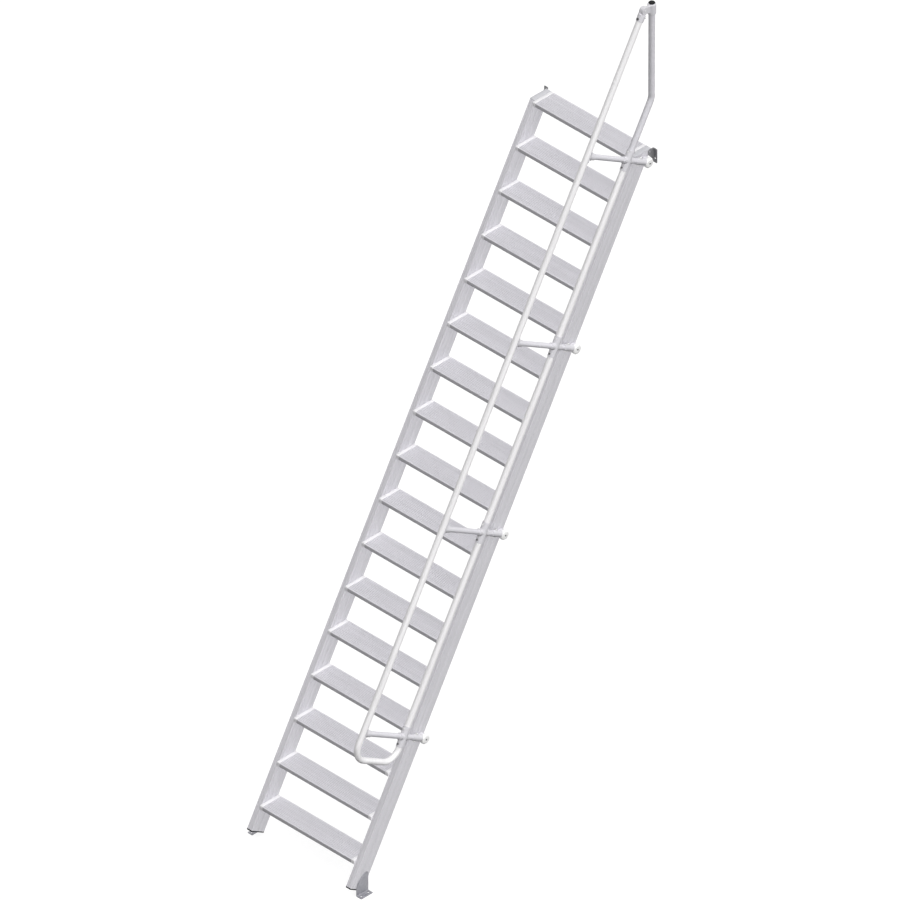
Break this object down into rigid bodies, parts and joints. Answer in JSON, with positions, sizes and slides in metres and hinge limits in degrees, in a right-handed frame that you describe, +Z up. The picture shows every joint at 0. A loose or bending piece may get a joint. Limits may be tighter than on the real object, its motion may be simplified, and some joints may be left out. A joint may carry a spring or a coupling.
{
  "type": "industrial wall stair",
  "caption": "Steep aluminium wall stair with ribbed treads between grooved box stringers, a tube handrail on the right side, and feet and wall brackets for bolting down.",
  "frame": {"origin": "underside of the right foot's flange, midway between its two anchor holes", "axes": "+X across the stair to the right seen from its foot, +Y back towards the wall, +Z up"},
  "size_m": [0.9742, 2.5583, 5.3167],
  "materials": {
    "stringer_aluminium": "mill finish extrusion",
    "tread_aluminium": "ribbed extrusion, mill finish",
    "cast_aluminium": "fine cast, light",
    "fitting_aluminium": "fine cast, grey",
    "rail_aluminium": "smooth drawn tube, satin",
    "post_aluminium": "drawn tube, satin",
    "galvanised_steel": "hot-dip galvanised",
    "dark_steel": "dark painted steel",
    "black_plastic": "black moulded plastic"
  },
  "bodies": {
    "root": {"stringer_left": "stringer_aluminium", "stringer_right": "stringer_aluminium", "top_caps": "stringer_aluminium", "tread_01": "tread_aluminium", "tread_02": "tread_aluminium", "tread_03": "tread_aluminium", "tread_04": "tread_aluminium", "tread_05": "tread_aluminium", "tread_06": "tread_aluminium", "tread_07": "tread_aluminium", "tread_08": "tread_aluminium", "tread_09": "tread_aluminium", "tread_10": "tread_aluminium", "tread_11": "tread_aluminium", "tread_12": "tread_aluminium", "tread_13": "tread_aluminium", "tread_14": "tread_aluminium", "tread_15": "tread_aluminium", "tread_16": "tread_aluminium", "tread_17": "tread_aluminium", "tread_brackets_left": "cast_aluminium", "tread_brackets_right": "cast_aluminium", "post_feet": "cast_aluminium", "top_clamp": "cast_aluminium", "top_socket": "cast_aluminium", "cross_fittings": "fitting_aluminium", "rail_saddles": "fitting_aluminium", "handrail": "rail_aluminium", "knee_rail": "rail_aluminium", "rail_post_1": "post_aluminium", "rail_post_2": "post_aluminium", "rail_post_3": "post_aluminium", "rail_post_4": "post_aluminium", "top_upright": "post_aluminium", "foot_bracket_left": "galvanised_steel", "foot_bracket_right": "galvanised_steel", "wall_bracket_left": "dark_steel", "wall_bracket_right": "dark_steel", "bottom_caps": "black_plastic", "top_upright_cap": "black_plastic"}
  },
  "joints": []
}
